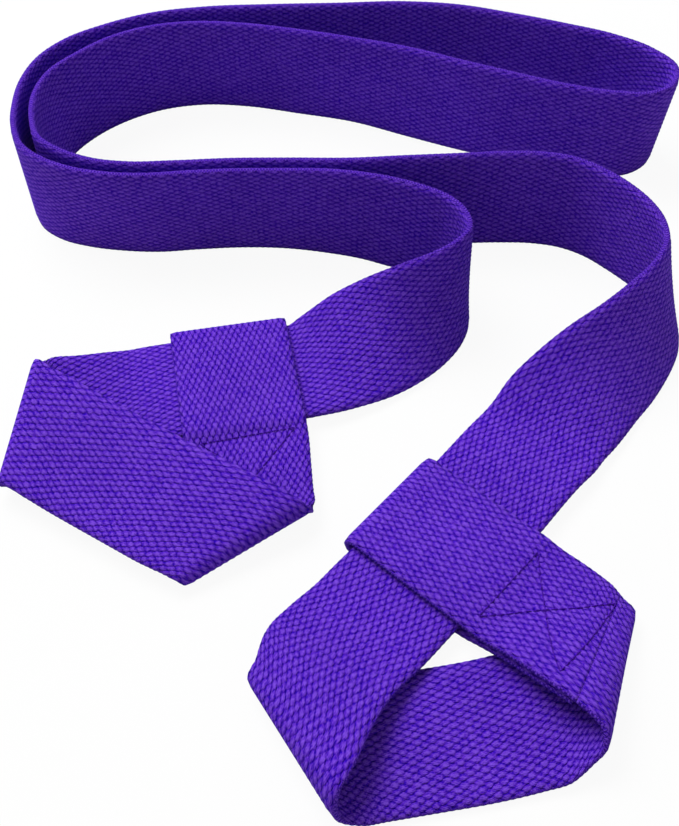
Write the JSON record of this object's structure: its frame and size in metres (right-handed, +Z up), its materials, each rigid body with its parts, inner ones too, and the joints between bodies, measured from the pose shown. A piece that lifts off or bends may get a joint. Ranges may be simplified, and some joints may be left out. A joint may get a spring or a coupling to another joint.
{
  "type": "stretching strap",
  "caption": "Woven cotton stretching strap whose ends fold back into sewn keeper tunnels, so each end closes into a loop that slides along the strap to tighten round a foot or hand.",
  "frame": {"origin": "middle of the laid-out strap's footprint, on the surface it lies on", "axes": "+Z up from that surface; +Y along the longest side of the footprint, away from the two loops; +X towards the loop that lies open"},
  "size_m": [0.2342, 0.2947, 0.038],
  "materials": {
    "webbing": "purple woven cotton webbing, matt",
    "thread": "dark purple sewing thread"
  },
  "bodies": {
    "strap": {"strap_band": "webbing", "left_loop_band": "webbing", "right_loop_band": "webbing"},
    "left_keeper": {"left_keeper_loop": "webbing", "left_needle_thread": "thread", "left_bobbin_thread": "thread"},
    "right_keeper": {"right_keeper_loop": "webbing", "right_needle_thread": "thread", "right_bobbin_thread": "thread"}
  },
  "joints": [
    {"name": "left_keeper_slide", "type": "slide", "parent": "strap", "child": "left_keeper", "axis": [0.9833, 0.1822, 0], "range_m": [-0.009, 0], "deforming": ["left_loop_band"]},
    {"name": "right_keeper_slide", "type": "slide", "parent": "strap", "child": "right_keeper", "axis": [0.6561, 0.7547, 0], "range_m": [-0.004, 0.018], "deforming": ["right_loop_band"]}
  ]
}
